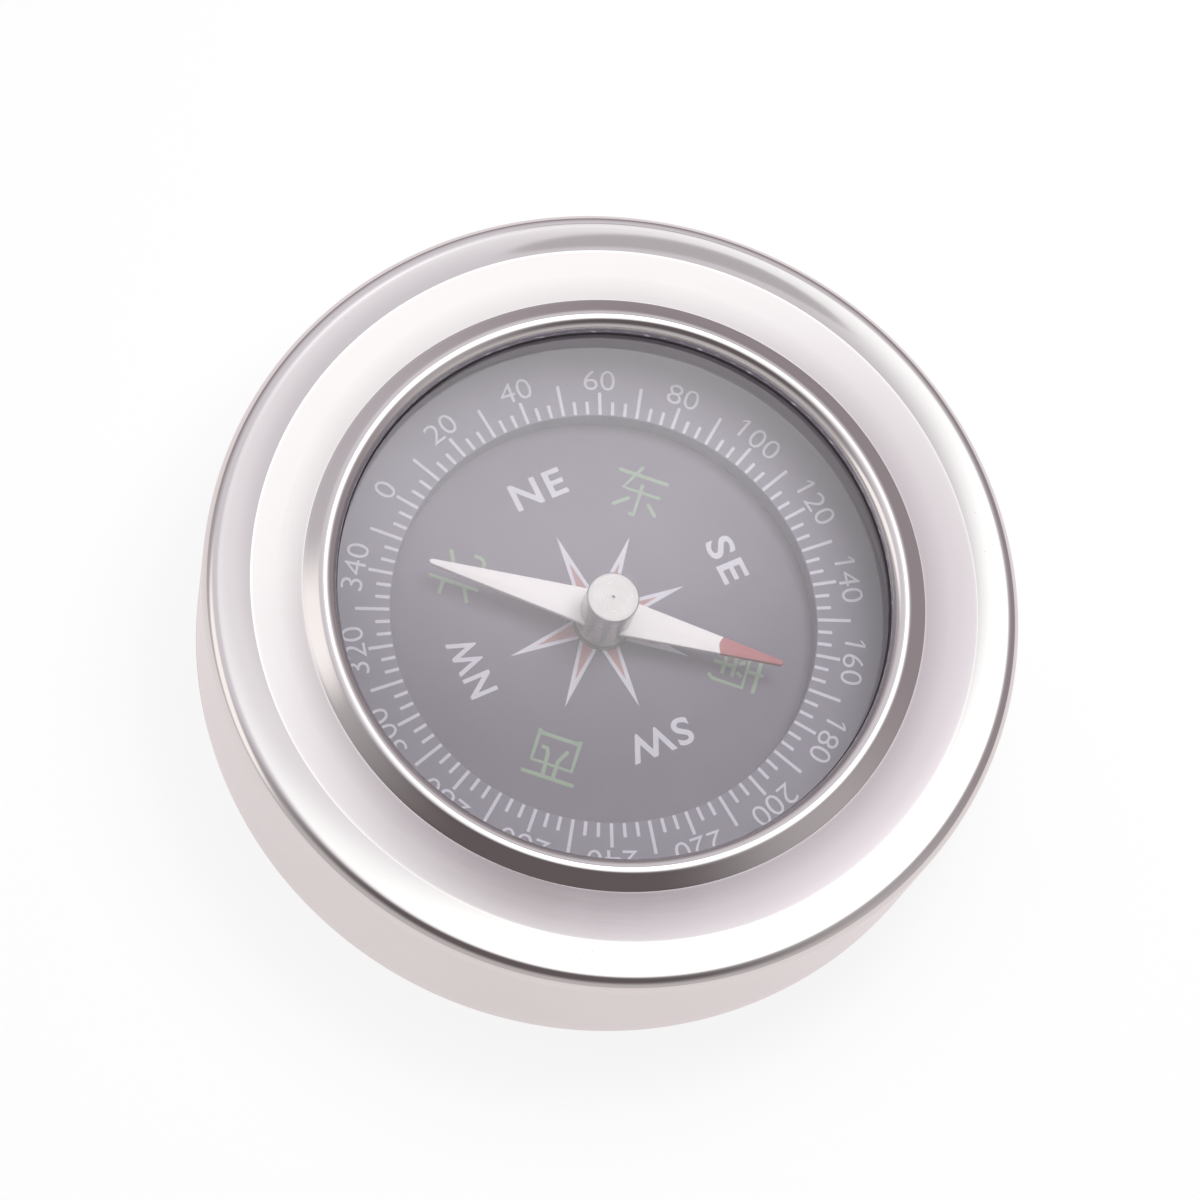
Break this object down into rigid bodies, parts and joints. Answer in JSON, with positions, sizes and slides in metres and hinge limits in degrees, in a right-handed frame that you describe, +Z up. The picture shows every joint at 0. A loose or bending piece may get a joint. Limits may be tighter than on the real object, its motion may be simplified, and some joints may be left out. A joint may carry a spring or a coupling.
{
  "type": "desk compass",
  "caption": "Round polished steel compass: sloping flange and rounded lip around the glass, raised degree ring, recessed dial and a tapered needle that turns freely on a pivot pin.",
  "frame": {"origin": "centre of the underside, on the surface that the compass lies on", "axes": "+Z up along the case's and the needle's axis, +Y towards the needle's plain white end at rest"},
  "size_m": [0.06, 0.06, 0.0135],
  "materials": {
    "polished_steel": "polished drawn sheet",
    "black_moulding": "matte",
    "dial_print": "matte print",
    "ring_print": "matte print",
    "grey_moulding": "satin",
    "glass": "clear",
    "black_rubber": "matte",
    "brass": "turned",
    "pin_steel": "ground",
    "needle_paint": "white paint with a red end",
    "hub_metal": "turned, bright",
    "bearing_glass": "polished jewel"
  },
  "bodies": {
    "case": {"case_shell": "polished_steel", "base_plate": "polished_steel", "carrier": "black_moulding", "dial_disc": "dial_print", "degree_ring": "ring_print", "spacer_ring": "grey_moulding", "glass": "glass", "gasket": "black_rubber", "pivot_bush": "brass", "pivot_pin": "pin_steel"},
    "needle": {"needle_blade": "needle_paint", "needle_hub": "hub_metal", "bearing_cup": "bearing_glass"}
  },
  "joints": [
    {"name": "needle_spin", "type": "hinge", "parent": "case", "child": "needle", "pos_m": [0, 0, 0.00915], "axis": [0, 0, 1], "continuous": true}
  ]
}
